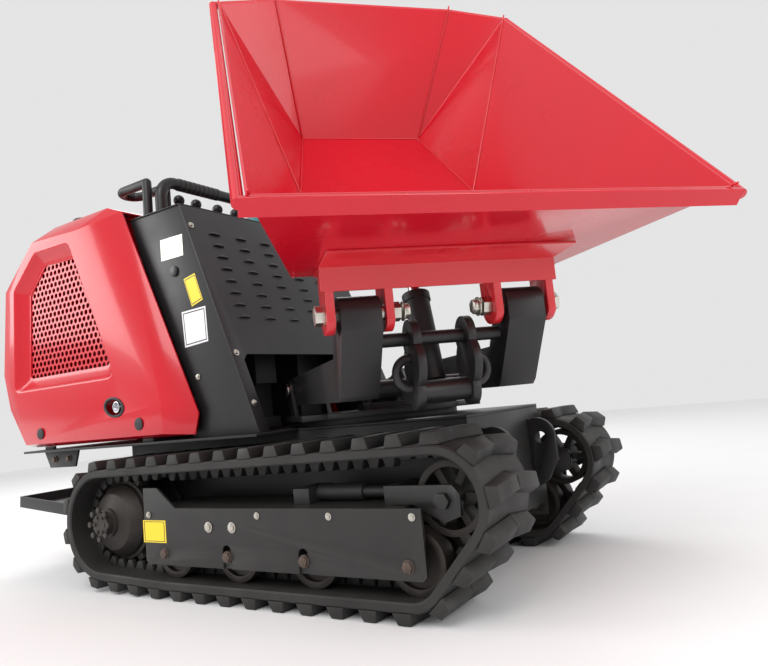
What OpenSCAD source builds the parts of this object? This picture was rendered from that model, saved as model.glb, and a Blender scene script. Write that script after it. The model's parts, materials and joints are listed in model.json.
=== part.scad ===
// Tracked power wheelbarrow with a slewing, high-tipping skip.
// Millimetres. +X is the way it travels, +Y its left side, +Z up.
// The origin is on the ground, under the slew axis.

/* [Tracks] */
// Distance from the centreline to the middle of each track
gauge_half = 291; // [270:1:330]
// Width of a rubber track
belt_w = 180; // [150:1:200]
// Thickness of the track band without its lugs
belt_t = 18; // [14:1:22]
// Height of the tread lugs
lug_h = 22; // [12:1:26]
// Length of one tread lug along the track
lug_len = 30; // [20:1:36]
// Nominal pitch of the tread lugs
lug_pitch = 72; // [60:1:90]
// Radius of the four bottom rollers
roller_r = 58; // [46:1:62]
// Width of a roller over its two flanges
roller_w = 110; // [80:1:120]
// Radius of the front idler wheel
idler_r = 66; // [56:1:66]
// Radius of the sprocket over its teeth
sprocket_r = 109; // [95:1:112]
// Distance from the slew axis back to the sprocket shaft
sprocket_back = 572; // [520:1:640]
// Distance from the slew axis forward to the idler axle
idler_fwd = 348; // [330:1:380]
// Diameter of the roller axles
axle_d = 24; // [18:1:30]

/* [Chassis] */
// Half width of the chassis between its side rails
chassis_half = 188; // [150:1:195]
// Height of the top of the deck above the ground
deck_z = 340; // [340:1:380]
// Thickness of the deck plate
deck_t = 6; // [4:1:8]
// Thickness of the chassis plates
rail_t = 8; // [5:1:10]
// Diameter of the tow pin hole
tow_bore_d = 20; // [16:1:24]
// Diameter of the lashing eye holes
lash_bore_d = 26; // [20:1:30]

/* [Engine bay] */
// Half width over the red hood
hood_half = 330; // [310:1:345]
// Thickness of the hood and panel sheet
sheet_t = 3; // [2:0.5:4]
// Half width over the black side panels
panel_half = 290; // [270:1:300]
// Lean of the louvred panel back from upright, degrees
panel_lean = 20.3; // [15:0.1:22]
// Height of the top of the louvred panel
panel_top = 902; // [860:1:930]
// Distance from the slew axis back to the foot of the louvred panel
panel_foot_back = 117; // [110:1:140]

/* [Controls] */
// Outside diameter of the handlebar tube
bar_d = 30; // [22:1:36]
// Height of the handlebar above the ground
bar_z = 1000; // [980:1:1060]
// Half width of the handlebar
bar_half = 250; // [200:1:270]

/* [Slew and lift] */
// Angle of the upper works from straight ahead at rest, degrees
slew_rest = -42.2; // [-60:0.1:0]
// Radius of the turntable plate
turntable_r = 212; // [200:1:225]
// Thickness of the turntable plate
turntable_t = 12; // [8:1:16]
// Distance from the slew axis to the skip pins
skip_pin_fwd = 518.6; // [500:0.1:560]
// Height of the skip pins above the ground
skip_pin_z = 530.3; // [520:0.1:560]
// Distance from the slew axis back to the arm pivot
arm_pivot_back = 140; // [110:1:150]
// Height of the arm pivot above the ground
arm_pivot_z = 432; // [425:1:450]
// Distance from the centreline to the middle of each lift arm
arm_half = 148; // [135:1:160]
// Width of a lift arm
arm_w = 70; // [50:1:74]
// Diameter of the skip pins and arm pins
pin_d = 25; // [20:1:30]
// Running clearance on each pin, on the radius
pin_gap = 0.05; // [0.02:0.01:0.1]

/* [Skip] */
// Forward tilt of the skip at rest, degrees
skip_tilt = 46; // [30:1:50]
// Depth from the rim down to the floor
skip_depth = 280; // [240:1:300]
// Height of the skip floor above the pins
skip_floor_up = 29; // [26:1:36]
// Distance from the pins forward to the lip
lip_fwd = 151; // [130:0.1:170]
// Length over the rim
skip_len = 875; // [760:1:880]
// Half width at the lip
lip_half = 340; // [300:1:360]
// Thickness of the skip sheet
skip_t = 4; // [3:0.5:6]
// Diameter of the rolled rim
rim_d = 16; // [12:1:20]
// Thickness of the skip lugs
skip_lug_t = 14; // [10:1:15]

/* [Hidden] */
$fn = 64;
SLIM = 32;
part_gap = 0.3;
weld_gap = 0.05;
red = [0.78, 0.02, 0.06];
black = [0.07, 0.07, 0.075];
dark = [0.13, 0.13, 0.135];
rubber = [0.05, 0.05, 0.05];
zinc = [0.72, 0.70, 0.66];
chrome = [0.85, 0.85, 0.86];
teal = [0.10, 0.42, 0.45];
blue = [0.08, 0.22, 0.45];
yellow = [0.98, 0.85, 0.05];

// Running gear, in the plane of a track: x forward, z up
carcass_z = lug_h + belt_t;                 // top of the ground run
roller_z = carcass_z + roller_r + 0.3;      // roller axle height
belt_in_sprocket = sprocket_r + 0.6;         // inner radius of the band round the sprocket
guide_h = 14;                               // rib inside the band that the idler runs on
guide_half = 17;
belt_in_idler = idler_r + guide_h + part_gap;
belt_in_roller = roller_r + 0.3;
sprocket_z = lug_h + belt_t + belt_in_sprocket + 8;
idler_z = deck_z - 15.5 - lug_h - belt_t - belt_in_idler;
roller_x = [-345, -152, 51, 282];
// The band's circles, anticlockwise: sprocket, rear roller, front roller, idler
wrap = [[-sprocket_back, sprocket_z, belt_in_sprocket],
        [roller_x[0], roller_z, belt_in_roller],
        [roller_x[3], roller_z, belt_in_roller],
        [idler_fwd, idler_z, belt_in_idler]];
wraps = len(wrap);

function reach(i) = let (a = wrap[i], b = wrap[(i + 1) % wraps]) norm([b[0] - a[0], b[1] - a[1]]);
// Angle of the outward normal on the straight run from circle i to the next
function run_normal(i) =
    let (a = wrap[i], b = wrap[(i + 1) % wraps])
    atan2(b[1] - a[1], b[0] - a[0]) - 90 + asin((a[2] - b[2]) / reach(i));
function run_len(i) =
    let (a = wrap[i], b = wrap[(i + 1) % wraps])
    sqrt(pow(reach(i), 2) - pow(a[2] - b[2], 2));
function turn_at(i) =
    let (d = run_normal(i) - run_normal((i + wraps - 1) % wraps))
    d < 0 ? d + 360 : d;
function bend_len(i) = (wrap[i][2] + belt_t) * turn_at(i) * PI / 180;
function sum_to(i) = i <= 0 ? 0 : sum_to(i - 1) + bend_len(i - 1) + run_len(i - 1);
band_len = sum_to(wraps);
lug_count = round(band_len / lug_pitch);
lug_step = band_len / lug_count;
lug_phase = 0.24;
run_bite = 0.01;

// Track frame
frame_x0 = -407;
frame_x1 = 318;
frame_top_x1 = idler_fwd - idler_r - 4;
frame_z0 = 75;
frame_z1 = 196;
plate_t = 6;
outer_face = gauge_half + belt_w / 2 - 6;
inner_face = gauge_half - roller_w / 2 - 15;
roller_side_gap = 4;

// Engine bay
foot_x = -panel_foot_back;
panel_top_x = foot_x - (panel_top - deck_z) * tan(panel_lean);
cut_z = 520;
cut_half = panel_half - 32;

// Upper works
table_z = deck_z + 14;
table_top = table_z + turntable_t;
arm_x0 = -arm_pivot_back;
arm_bottom = 387;
arm_depth = 76;
arm_boss_r = 30;
leg_back = 38;
lug_half = arm_half - arm_w / 2 - 8 - skip_lug_t / 2;
lug_half_out = arm_half + arm_w / 2 + 8 + skip_lug_t / 2;
cross_x = skip_pin_fwd - 25;
cross_up_z = skip_pin_z - 46;
cross_low_z = arm_bottom + 4;
cross_up_r = 12;
cross_low_r = 20;
link_half = 50;
link_t = 15;
// Lift cylinder ends, and the tip cylinder's
lift_base = [40, table_top + 32];
lift_eye = [330, arm_bottom + 38];
lift_bar = [lift_eye[0] + 36, arm_bottom + 18];
lift_bar_r = 16;
tip_base = [cross_x - 48.6, cross_low_z];
tip_eye_local = [-240, -5];
tip_eye = [skip_pin_fwd + tip_eye_local[0] * cos(skip_tilt) + tip_eye_local[1] * sin(skip_tilt),
           skip_pin_z - tip_eye_local[0] * sin(skip_tilt) + tip_eye_local[1] * cos(skip_tilt)];
ram_pin_r = 10;
tip_pin_r = 12;

// Skip, from the pin axis: x forward, z up, before it is tilted
floor_z = skip_floor_up;
rim_z = floor_z + skip_depth;
rim_back = lip_fwd - skip_len;
skip_inner = [[lip_fwd, lip_half, rim_z],              // 0 lip corner
              [rim_back + 46, lip_half - 18, rim_z],   // 1 side corner of the rim
              [rim_back, lip_half - 140, rim_z],       // 2 back corner of the rim
              [-84, lip_half - 95, floor_z],           // 3 front corner of the floor
              [rim_back + 358, lip_half - 150, floor_z], // 4 side corner of the floor
              [rim_back + 83, lip_half - 197, floor_z]]; // 5 back corner of the floor
skip_push = [[skip_t, skip_t, 0], [-skip_t, skip_t, 0], [-skip_t, skip_t, 0],
             [skip_t, skip_t, -skip_t], [0, skip_t, -skip_t], [-skip_t, skip_t, -skip_t]];
// Cross bar of the skip, upright at rest: forward and up from the pin axis
subframe_half = 212;
bar_front = arm_boss_r;
bar_low = 36;
bar_high = 79;
bar_t = 6;

// ---- Helpers ----

// Puts right-hand children, drawn at y = 0, on the chosen side at a distance
module at_side(side, y) { translate([0, side * y, 0]) children(); }

// Extrudes a shape drawn in x and z, centred on y = 0
module upright(w) { rotate([90, 0, 0]) linear_extrude(w, center = true) children(); }

// Round bar along Y, centred on y = 0
module crossbar(r, w) { rotate([90, 0, 0]) cylinder(r = r, h = w, center = true); }

// Turns the upper works to their rest angle
module slewed() { rotate([0, 0, slew_rest]) children(); }

// Carries the skip's own frame to the pins and tilts it
module tipped() {
    slewed() translate([skip_pin_fwd, 0, skip_pin_z]) rotate([0, skip_tilt, 0]) children();
}

// Straight round rod between two points of the x-z plane
module ram(a, b, r) {
    d = b - a;
    translate([a[0], 0, a[1]]) rotate([0, 90 - atan2(d[1], d[0]), 0]) cylinder(r = r, h = norm(d));
}

module hex_bolt(af, h) { cylinder(d = af / cos(30), h = h, $fn = 6); }

// ---- Running gear ----

// Outline of everything inside the band, grown by g
module loop_2d(g) {
    polygon([for (c = wrap) [c[0], c[1]]]);
    for (i = [0 : wraps - 1]) {
        a = wrap[i];
        b = wrap[(i + 1) % wraps];
        n = [cos(run_normal(i)), sin(run_normal(i))];
        translate([a[0], a[1]]) circle(r = a[2] + g);
        // The straight run starts a hair inside the circles, so the two cross cleanly
        polygon([[a[0], a[1]], [a[0], a[1]] + (a[2] + g - run_bite) * n,
                 [b[0], b[1]] + (b[2] + g - run_bite) * n, [b[0], b[1]]]);
    }
}

// A tread lug standing on the band at the outward normal's angle
module tread_lug(x, z, angle) {
    translate([x, 0, z]) rotate([0, 90 - angle, 0])
        translate([0, 0, (lug_h - 1) / 2]) cube([lug_len, belt_w - 8, lug_h + 1], center = true);
}

module tread() {
    for (i = [0 : wraps - 1], k = [0 : lug_count - 1]) {
        s = (k + lug_phase) * lug_step;
        bend0 = sum_to(i);
        run0 = bend0 + bend_len(i);
        r = wrap[i][2] + belt_t;
        if (s >= bend0 && s < run0) {
            a = run_normal((i + wraps - 1) % wraps) + (s - bend0) / r * 180 / PI;
            tread_lug(wrap[i][0] + r * cos(a), wrap[i][1] + r * sin(a), a);
        }
        if (s >= run0 && s < run0 + run_len(i)) {
            a = run_normal(i);
            tread_lug(wrap[i][0] + r * cos(a) - (s - run0) * sin(a),
                      wrap[i][1] + r * sin(a) + (s - run0) * cos(a), a);
        }
    }
}

module track_belt(side) {
    color(rubber) at_side(side, gauge_half) {
        difference() {
            union() {
                upright(belt_w) difference() {
                    loop_2d(belt_t);
                    loop_2d(0);
                }
                tread();
            }
            // Lugs flattened where they meet the ground
            translate([-1000, -belt_w, -60]) cube([2000, 2 * belt_w, 60]);
        }
        upright(2 * guide_half) difference() {
            loop_2d(1);
            loop_2d(-guide_h);
            translate([-1000, 0]) square([1000 + frame_x0, 400]);
        }
    }
}
module track_belt_right() { track_belt(-1); }
module track_belt_left() { track_belt(1); }

// Downward channel over the rollers, with its outer plate notched over the middle two
module track_frame(side) {
    color(black) difference() {
        union() {
            at_side(side, outer_face - plate_t / 2) upright(plate_t)
                polygon([[frame_x0, 82], [frame_x0 + 12, frame_z0], [frame_x1 - 8, frame_z0],
                         [frame_x1, frame_z0 + 8], [frame_x1, frame_z1], [frame_x0, frame_z1]]);
            at_side(side, inner_face - plate_t / 2) translate([frame_x0, -plate_t / 2, frame_z0])
                cube([frame_x1 - frame_x0, plate_t, frame_z1 - frame_z0]);
            at_side(side, (outer_face + inner_face - plate_t) / 2)
                translate([frame_x0, -(outer_face - inner_face + plate_t) / 2, frame_z1 - plate_t])
                cube([frame_top_x1 - frame_x0, outer_face - inner_face + plate_t, plate_t]);
            // Gusset behind the sprocket
            at_side(side, outer_face - plate_t / 2) upright(plate_t)
                polygon([[frame_x0, frame_z1 - 1], [frame_x0 + 105, frame_z1 - 1],
                         [frame_x0 + 46, frame_z1 + 44], [frame_x0, frame_z1 + 44]]);
            // Arms to the chassis
            for (x = [-290, 190])
                at_side(side, (chassis_half + inner_face) / 2 - plate_t / 2)
                    translate([x, 0, 135])
                    cube([90, inner_face - chassis_half - plate_t, 70], center = true);
        }
        for (x = roller_x) translate([x, side * gauge_half, roller_z])
            crossbar(axle_d / 2 + weld_gap, 2 * belt_w);
        for (x = [roller_x[1], roller_x[2]]) {
            at_side(side, outer_face) translate([x - axle_d / 2, -plate_t - 1, frame_z0 - 1])
                cube([axle_d, 2 * plate_t, roller_z - frame_z0 + 12]);
            translate([x, side * outer_face, roller_z + 12]) crossbar(axle_d / 2, 4 * plate_t);
        }
    }
}
module track_frame_right() { track_frame(-1); }
module track_frame_left() { track_frame(1); }

module roller_axles() {
    color(zinc) for (side = [-1, 1], x = roller_x) {
        translate([x, side * (outer_face + inner_face - plate_t) / 2, roller_z])
            crossbar(axle_d / 2, outer_face - inner_face + plate_t);
        translate([x, side * outer_face, roller_z]) rotate([-side * 90, 0, 0]) hex_bolt(18, 5);
    }
}

// Twin-flange roller turned on its fixed axle
module roller(side, index) {
    color(dark) translate([roller_x[index], side * gauge_half, roller_z]) rotate([90, 0, 0])
        difference() {
            union() {
                for (s = [-1, 1]) translate([0, 0, s * (roller_w / 2 - 18)])
                    cylinder(r = roller_r, h = 36, center = true);
                cylinder(r = roller_r - 16, h = roller_w, center = true);
            }
            for (s = [-1, 1]) translate([0, 0, s * roller_w / 2])
                cylinder(r = roller_r - 13, h = 20, center = true);
            cylinder(r = axle_d / 2 + pin_gap, h = roller_w + 2, center = true);
        }
}
module roller_right_1() { roller(-1, 0); }
module roller_right_2() { roller(-1, 1); }
module roller_right_3() { roller(-1, 2); }
module roller_right_4() { roller(-1, 3); }
module roller_left_1() { roller(1, 0); }
module roller_left_2() { roller(1, 1); }
module roller_left_3() { roller(1, 2); }
module roller_left_4() { roller(1, 3); }

idler_axle_r = 11;
yoke_t = 10;
yoke_half = 49;
module idler(side) {
    color(dark) translate([idler_fwd, side * gauge_half, idler_z]) rotate([90, 0, 0])
        difference() {
            union() {
                difference() {
                    cylinder(r = idler_r, h = 60, center = true);
                    cylinder(r = idler_r - 12, h = 62, center = true);
                }
                cylinder(r = 26, h = 80, center = true);
                for (a = [0 : 60 : 300]) rotate([0, 0, a])
                    translate([(idler_r + 10) / 2, 0, 0]) cube([idler_r - 24, 14, 40], center = true);
            }
            cylinder(r = idler_axle_r + pin_gap, h = 90, center = true);
        }
}
module idler_right() { idler(-1); }
module idler_left() { idler(1); }

// Fork that holds the idler axle and slides in the tensioner
module idler_yoke(side) {
    color(black) translate([0, side * gauge_half, 0]) {
        for (s = [-1, 1]) translate([0, s * yoke_half, 0]) upright(yoke_t)
            polygon([[idler_fwd - 100, idler_z + 26], [idler_fwd + 18, idler_z + 26],
                     [idler_fwd + 32, idler_z + 10], [idler_fwd + 30, idler_z - 26],
                     [idler_fwd - 2, idler_z - 38], [idler_fwd - 62, idler_z - 7],
                     [idler_fwd - 100, idler_z - 7]]);
        translate([idler_fwd - 110, 0, idler_z + 9]) cube([22, 2 * yoke_half + yoke_t, 34], center = true);
        translate([idler_fwd, 0, idler_z]) crossbar(idler_axle_r, 2 * yoke_half + yoke_t);
        translate([idler_fwd, side * (yoke_half + yoke_t / 2), idler_z]) rotate([-side * 90, 0, 0])
            hex_bolt(26, 12);
    }
}
module idler_yoke_right() { idler_yoke(-1); }
module idler_yoke_left() { idler_yoke(1); }

// Grease cylinder that pushes the fork, seated on top of the track frame
module track_tensioners() {
    color(dark) for (side = [-1, 1]) translate([0, side * gauge_half, 0]) {
        translate([20, 0, frame_z1 + 15]) cube([40, 80, 30], center = true);
        translate([40, 0, idler_z + 9]) rotate([0, 90, 0]) cylinder(r = 16.5, h = 110);
        translate([150, 0, idler_z + 9]) rotate([0, 90, 0]) cylinder(r = 11, h = idler_fwd - 271);
    }
}

motor_r = 68;
// Toothed ring with a dished outer disc and a hub boss
module sprocket(side) {
    teeth = 12;
    color(dark) translate([-sprocket_back, side * gauge_half, sprocket_z]) rotate([-side * 90, 0, 0]) {
        difference() {
            cylinder(r = sprocket_r - 14, h = 36, center = true);
            translate([0, 0, -19]) cylinder(r = motor_r + part_gap, h = 22);
        }
        for (a = [0 : 360 / teeth : 359]) rotate([0, 0, a])
            translate([sprocket_r - 9, 0, 0]) cube([18, 18, 30], center = true);
        rotate_extrude() polygon([[0, 17], [86, 17], [86, 26], [66, 50], [34, 58], [34, 66],
                                  [28, 66], [28, 84], [0, 84]]);
        for (a = [0 : 60 : 300]) rotate([0, 0, a]) translate([19, 0, 83]) hex_bolt(8, 5);
    }
}
module sprocket_right() { sprocket(-1); }
module sprocket_left() { sprocket(1); }

module drive_motors() {
    color(dark) for (side = [-1, 1])
        translate([-sprocket_back, side * chassis_half, sprocket_z]) rotate([-side * 90, 0, 0]) {
            cylinder(r = motor_r, h = gauge_half - chassis_half - 0.5);
            cylinder(r = 84, h = 12);
        }
}

// ---- Chassis ----

rail_z0 = 112;
rail_x0 = -690;
rail_x1 = 330;
module chassis_frame() {
    rail_h = deck_z - deck_t - rail_z0;
    color(black) difference() {
        union() {
            for (s = [-1, 1]) translate([rail_x0, s * (chassis_half - rail_t / 2) - rail_t / 2, rail_z0])
                cube([rail_x1 - rail_x0, rail_t, rail_h]);
            translate([rail_x0, -chassis_half, rail_z0]) cube([rail_x1 - rail_x0, 2 * chassis_half, rail_t]);
            for (x = [rail_x0, -380, -60, rail_x1 - rail_t])
                translate([x, -chassis_half, rail_z0]) cube([rail_t, 2 * chassis_half, rail_h]);
        }
        for (s = [-1, 1]) translate([-sprocket_back, s * chassis_half, sprocket_z]) crossbar(50, 60);
    }
}

deck_x0 = -980;
deck_x1 = 330;
module deck_plate() {
    color(black) difference() {
        union() {
            translate([deck_x0, -hood_half + 6, deck_z - deck_t])
                cube([-foot_offset() - deck_x0, 2 * hood_half - 12, deck_t]);
            translate([-200, -chassis_half, deck_z - deck_t])
                cube([deck_x1 + 200, 2 * chassis_half, deck_t]);
        }
        translate([0, 0, deck_z - deck_t - 1]) cylinder(r = 60, h = deck_t + 2);
    }
}
function foot_offset() = panel_foot_back - 22;

// Two curved straps at the front of the chassis, with a lashing eye in each
module front_guard() {
    color(black) for (s = [-1, 1]) difference() {
        translate([rail_x1, s * 120, 0]) upright(12) difference() {
            union() {
                polygon([[0, 150], [36, 170], [62, 215], [62, 268], [0, 310]]);
                translate([20, 268]) circle(r = 42);
            }
            translate([-60, 100]) square([60, 260]);
        }
        translate([rail_x1 + 28, s * 120, 266]) crossbar(lash_bore_d / 2, 40);
    }
}

// Clevis plates for a tow pin at the back of the chassis
module tow_hitch() {
    color(black) difference() {
        for (z = [150, 190]) translate([rail_x0 - 60, -35, z]) cube([60, 70, 12]);
        translate([rail_x0 - 36, 0, 140]) cylinder(d = tow_bore_d, h = 80);
    }
}

// ---- Platform ----

hinge_x = -712;
hinge_z = 232;
plat_half = 262;
plat_x0 = -1123;
plat_x1 = -748;
plat_lean = 5.4;
plat_z = 143;
plat_t = 6;
plat_edge = 31;
platform_arm_y = 120;
module platform() {
    color(black) difference() {
        union() {
            // Tray, a little higher at its back edge
            translate([plat_x1, 0, plat_z]) rotate([0, plat_lean, 0]) {
                translate([plat_x0 - plat_x1, -plat_half, 0]) cube([plat_x1 - plat_x0, 2 * plat_half, plat_t]);
                for (s = [-1, 1]) translate([plat_x0 - plat_x1, s * (plat_half - plat_t / 2) - plat_t / 2, 0])
                    cube([plat_x1 - plat_x0, plat_t, plat_edge]);
                translate([plat_x0 - plat_x1, -plat_half, 0]) cube([plat_t, 2 * plat_half, plat_edge]);
            }
            for (s = [-1, 1]) translate([0, s * platform_arm_y, 0]) upright(10)
                polygon([[plat_x1 - 60, plat_z + plat_t], [plat_x1 - 1, plat_z + 1],
                         [hinge_x + 8, hinge_z - 8], [hinge_x + 9, hinge_z + 8], [hinge_x - 9, hinge_z + 10]]);
        }
        translate([hinge_x, 0, hinge_z]) crossbar(hinge_r + pin_gap, 2 * platform_arm_y + 40);
    }
}

// Ears on the chassis and the pins through them
hinge_r = 8;
module platform_pins() {
    color(dark) for (s = [-1, 1]) {
        for (o = [-1, 1]) translate([0, s * platform_arm_y + o * 11, 0]) upright(8)
            polygon([[rail_x0, hinge_z - 40], [rail_x0, hinge_z + 30], [hinge_x - 8, hinge_z + 14],
                     [hinge_x - 14, hinge_z - 8]]);
        translate([hinge_x, s * platform_arm_y, hinge_z]) crossbar(hinge_r, 36);
    }
}

// ---- Engine bay ----

engine_x0 = -900;
engine_x1 = -330;
module engine() {
    color(dark) {
        translate([engine_x0 + 180, -150, deck_z]) cube([300, 270, 30]);
        translate([engine_x0 + 190, -140, deck_z + 30]) cube([270, 250, 250]);
        translate([engine_x0 + 240, -110, deck_z + 280]) cube([180, 200, 150]);
        translate([engine_x0 + 190, -15, deck_z + 160]) rotate([0, -90, 0]) cylinder(r = 110, h = 40);
        for (z = [0 : 5]) translate([engine_x0 + 232, -118, deck_z + 300 + 20 * z]) cube([196, 216, 8]);
    }
}

exhaust_x = -560;
exhaust_z = 432;
module muffler() {
    color(chrome) {
        translate([exhaust_x - 10, -140, exhaust_z]) rotate([90, 0, 0]) cylinder(r = 55, h = 126);
        translate([exhaust_x, -265, exhaust_z]) rotate([90, 0, 0]) difference() {
            cylinder(r = 14, h = hood_half - sheet_t - 2 - 265);
            translate([0, 0, 10]) cylinder(r = 11, h = hood_half);
        }
    }
}

module hydraulic_pump() {
    color(dark) {
        translate([engine_x0 + 460, -15, deck_z + 160]) rotate([0, 90, 0]) cylinder(r = 46, h = 70);
        translate([engine_x0 + 530, -55, deck_z + 120]) cube([30, 80, 80]);
    }
}

module hydraulic_tank() {
    color(dark) difference() {
        translate([engine_x1 - 150, 130, deck_z]) cube([130, 130, 330]);
        translate([engine_x1 - 145, 135, deck_z + 5]) cube([120, 120, 320]);
    }
}

// A plate standing on the deck in the lean of the louvred panel
module leaning() { translate([foot_x, 0, deck_z]) rotate([0, -panel_lean, 0]) children(); }
panel_rise = (panel_top - deck_z) / cos(panel_lean);
panel_seat = sheet_t * tan(panel_lean);
cut_rise = (cut_z - deck_z) / cos(panel_lean);
louvre_step = 27.5;

module louvred_panel() {
    color(dark) leaning() difference() {
        translate([-sheet_t, -panel_half, panel_seat]) cube([sheet_t, 2 * panel_half, panel_rise - panel_seat]);
        translate([-20, -cut_half, -1]) cube([40, 2 * cut_half, cut_rise]);
        for (row = [0 : 8], col = [0 : 3])
            translate([-10, -panel_half + 52 + col * 90, 300 + row * louvre_step])
                cube([20, 36, 4]);
    }
}

side_back = -250;
module side_panels() {
    color(black) for (s = [-1, 1]) translate([0, s * (panel_half - 1.5 * sheet_t) , 0]) upright(sheet_t)
        polygon([[foot_x - sheet_t / cos(panel_lean) - 0.2, deck_z],
                 [panel_top_x - sheet_t / cos(panel_lean) - 0.2, panel_top],
                 [panel_top_x + side_back + 60, panel_top],
                 [foot_x - 210, deck_z]]);
}

cover_x0 = -511;
slot_half = 175;
module top_cover() {
    color(black) difference() {
        translate([cover_x0, -panel_half, panel_top]) cube([panel_top_x - cover_x0, 2 * panel_half, sheet_t]);
        translate([lever_x - 18, -slot_half, panel_top - 1]) cube([36, 2 * slot_half, sheet_t + 2]);
    }
}

module valve_block() {
    color(teal) {
        translate([lever_x - 22, -slot_half, panel_top - 90]) cube([56, 2 * slot_half, 60]);
        for (s = [-1, 1]) translate([lever_x - 22, s * (slot_half + 3) - 3, panel_top - 90]) cube([56, 6, 90]);
        translate([panel_top_x - 70, 20, panel_top + sheet_t]) cube([50, 90, 46]);
    }
}

// Outline of the hood's side, a little behind the panel
hood_side = [[-951, 349], [-975, 419], [-1039, 454], [-1069, 557], [-1046, 805], [-899, 929],
             [-818, 951], [-583, 951], [-527, 929], [-289, 396], [-304, 349]];
hood_crease = [[-964, 349], [-975, 419], [-1039, 454], [-1069, 557], [-1046, 805], [-899, 929],
               [-685, 921], [-471, 473], [-375, 420], [-375, 349]];

// Pulls a point of the outline towards the hood's middle
hood_mid = [-740, 640];
function pulled(p, d) = let (v = hood_mid - p) p + v / norm(v) * d;

module hood_block(half, edge, shrink) {
    // Flat side to the crease, then a bevel in to the front edge
    hull() {
        upright(2 * (half - 26)) polygon([for (p = hood_side) pulled(p, shrink)]);
        upright(2 * half) polygon([for (p = hood_crease) pulled(p, shrink + edge)]);
    }
}

module hood_2d(shrink) { polygon([for (p = hood_side) pulled(p, shrink)]); }

// Red engine cover: a hollow shell open at the front and underneath
module hood() {
    color(red) difference() {
        hood_block(hood_half, 12, 0);
        hood_block(hood_half - sheet_t, 12, sheet_t);
        upright(2 * hood_half - 60) polygon([[-940, 340], [-960, 420], [-1020, 460], [-1050, 557],
            [-1028, 795], [-890, 915], [-560, 925], [-200, 925], [-200, 340]]);
        translate([-1200, -500, 300]) cube([1200, 1000, 349.2 - 300]);
        grille_window(hood_half + 10, 60);
        for (s = [-1, 1]) translate([exhaust_x, s * hood_half, exhaust_z]) rotate([0, 10, 0])
            scale([1.7, 1, 1]) crossbar(20, 80);
    }
}

grille_pts = [[-735, 846], [-598, 541], [-963, 541], [-949, 778], [-869, 852]];
module grille_window(y, depth) {
    for (s = [-1, 1]) translate([0, s * y, 0]) upright(depth) polygon(grille_pts);
}

module grilles() {
    color(red) for (s = [-1, 1]) translate([0, s * (hood_half - sheet_t - 1.2), 0]) upright(2)
        difference() {
            polygon([for (p = grille_pts) p + (p - [-820, 690]) * 0.06]);
            for (c = [0 : 7], r = [0 : 6])
                if (c * 45 + (r % 2) * 22 < 330 - 22 * r)
                    translate([-945 + 45 * c + (r % 2) * 22, 562 + 42 * r]) circle(r = 16);
        }
}

module hood_plugs() {
    color(rubber) for (s = [-1, 1], x = [-881, -466]) {
        translate([x, s * (hood_half + 2), 385]) crossbar(13, 3.5);
        // Buffers the hood sits on
        translate([x - 20, s * (hood_half - 26) - 5, deck_z + part_gap]) cube([40, 10, 349.2 - deck_z - part_gap]);
    }
}

cap_x = -745;
module fuel_cap() {
    color(rubber) translate([cap_x, -262, 951.3]) {
        cylinder(r = 26, h = 12);
        for (a = [0 : 30 : 330]) rotate([0, 0, a]) translate([26, 0, 6]) cylinder(r = 3, h = 11, center = true, $fn = 16);
    }
}

// ---- Controls ----

bar_x = -436;
bar_r = bar_d / 2;
bar_bend = 45;
module handlebar() {
    color(black) {
        translate([bar_x, 0, bar_z]) crossbar(bar_r, 2 * (bar_half - bar_bend));
        for (s = [-1, 1]) translate([bar_x, s * (bar_half - bar_bend), bar_z - bar_bend]) {
            rotate([90, 0, s > 0 ? 90 : -90]) rotate([0, 0, 0])
                rotate_extrude(angle = 90) translate([bar_bend, 0]) circle(r = bar_r);
            translate([0, s * bar_bend, panel_top + sheet_t - (bar_z - bar_bend)])
                cylinder(r = bar_r, h = bar_z - bar_bend - panel_top - sheet_t);
        }
    }
}

// Flat loops behind the bar for the operator's hands
loop_r = 12;
loop_z = 998;
module grip_loops() {
    color(black) for (s = [-1, 1]) translate([0, s * 235, 0]) {
        translate([-560, 0, loop_z]) for (t = [-1, 1]) {
            translate([0, t * 30, 0]) rotate([0, 90, 0]) cylinder(r = loop_r, h = 90);
        }
        translate([-560, 0, loop_z]) rotate([0, 0, 90])
            rotate_extrude(angle = 180) translate([30, 0]) circle(r = loop_r);
        for (t = [-1, 1]) translate([-470, t * 30, 0]) {
            translate([0, 0, panel_top + sheet_t]) cylinder(r = loop_r, h = loop_z - panel_top - sheet_t);
            translate([0, 0, loop_z]) sphere(r = loop_r);
        }
    }
}

lever_x = -484;
lever_pivot_z = panel_top - 20.7;
lever_len = 84;
module lever(y, knob_r) {
    color(black) translate([lever_x, y, lever_pivot_z]) {
        crossbar(9, 10);
        cylinder(r = 5, h = lever_len);
        translate([0, 0, lever_len + knob_r - 3]) sphere(r = knob_r);
    }
}
module lever_travel_right() { lever(-150, 15); }
module lever_travel_left() { lever(-90, 15); }
module lever_lift() { lever(-10, 15); }
module lever_tip() { lever(60, 15); }
module throttle_lever() { lever(150, 11); }

// ---- Upper works ----

module slew_ring() {
    color(dark) translate([0, 0, deck_z]) difference() {
        cylinder(r = turntable_r - 22, h = 13.7);
        translate([0, 0, -1]) cylinder(r = 70, h = 20);
    }
}

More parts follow.
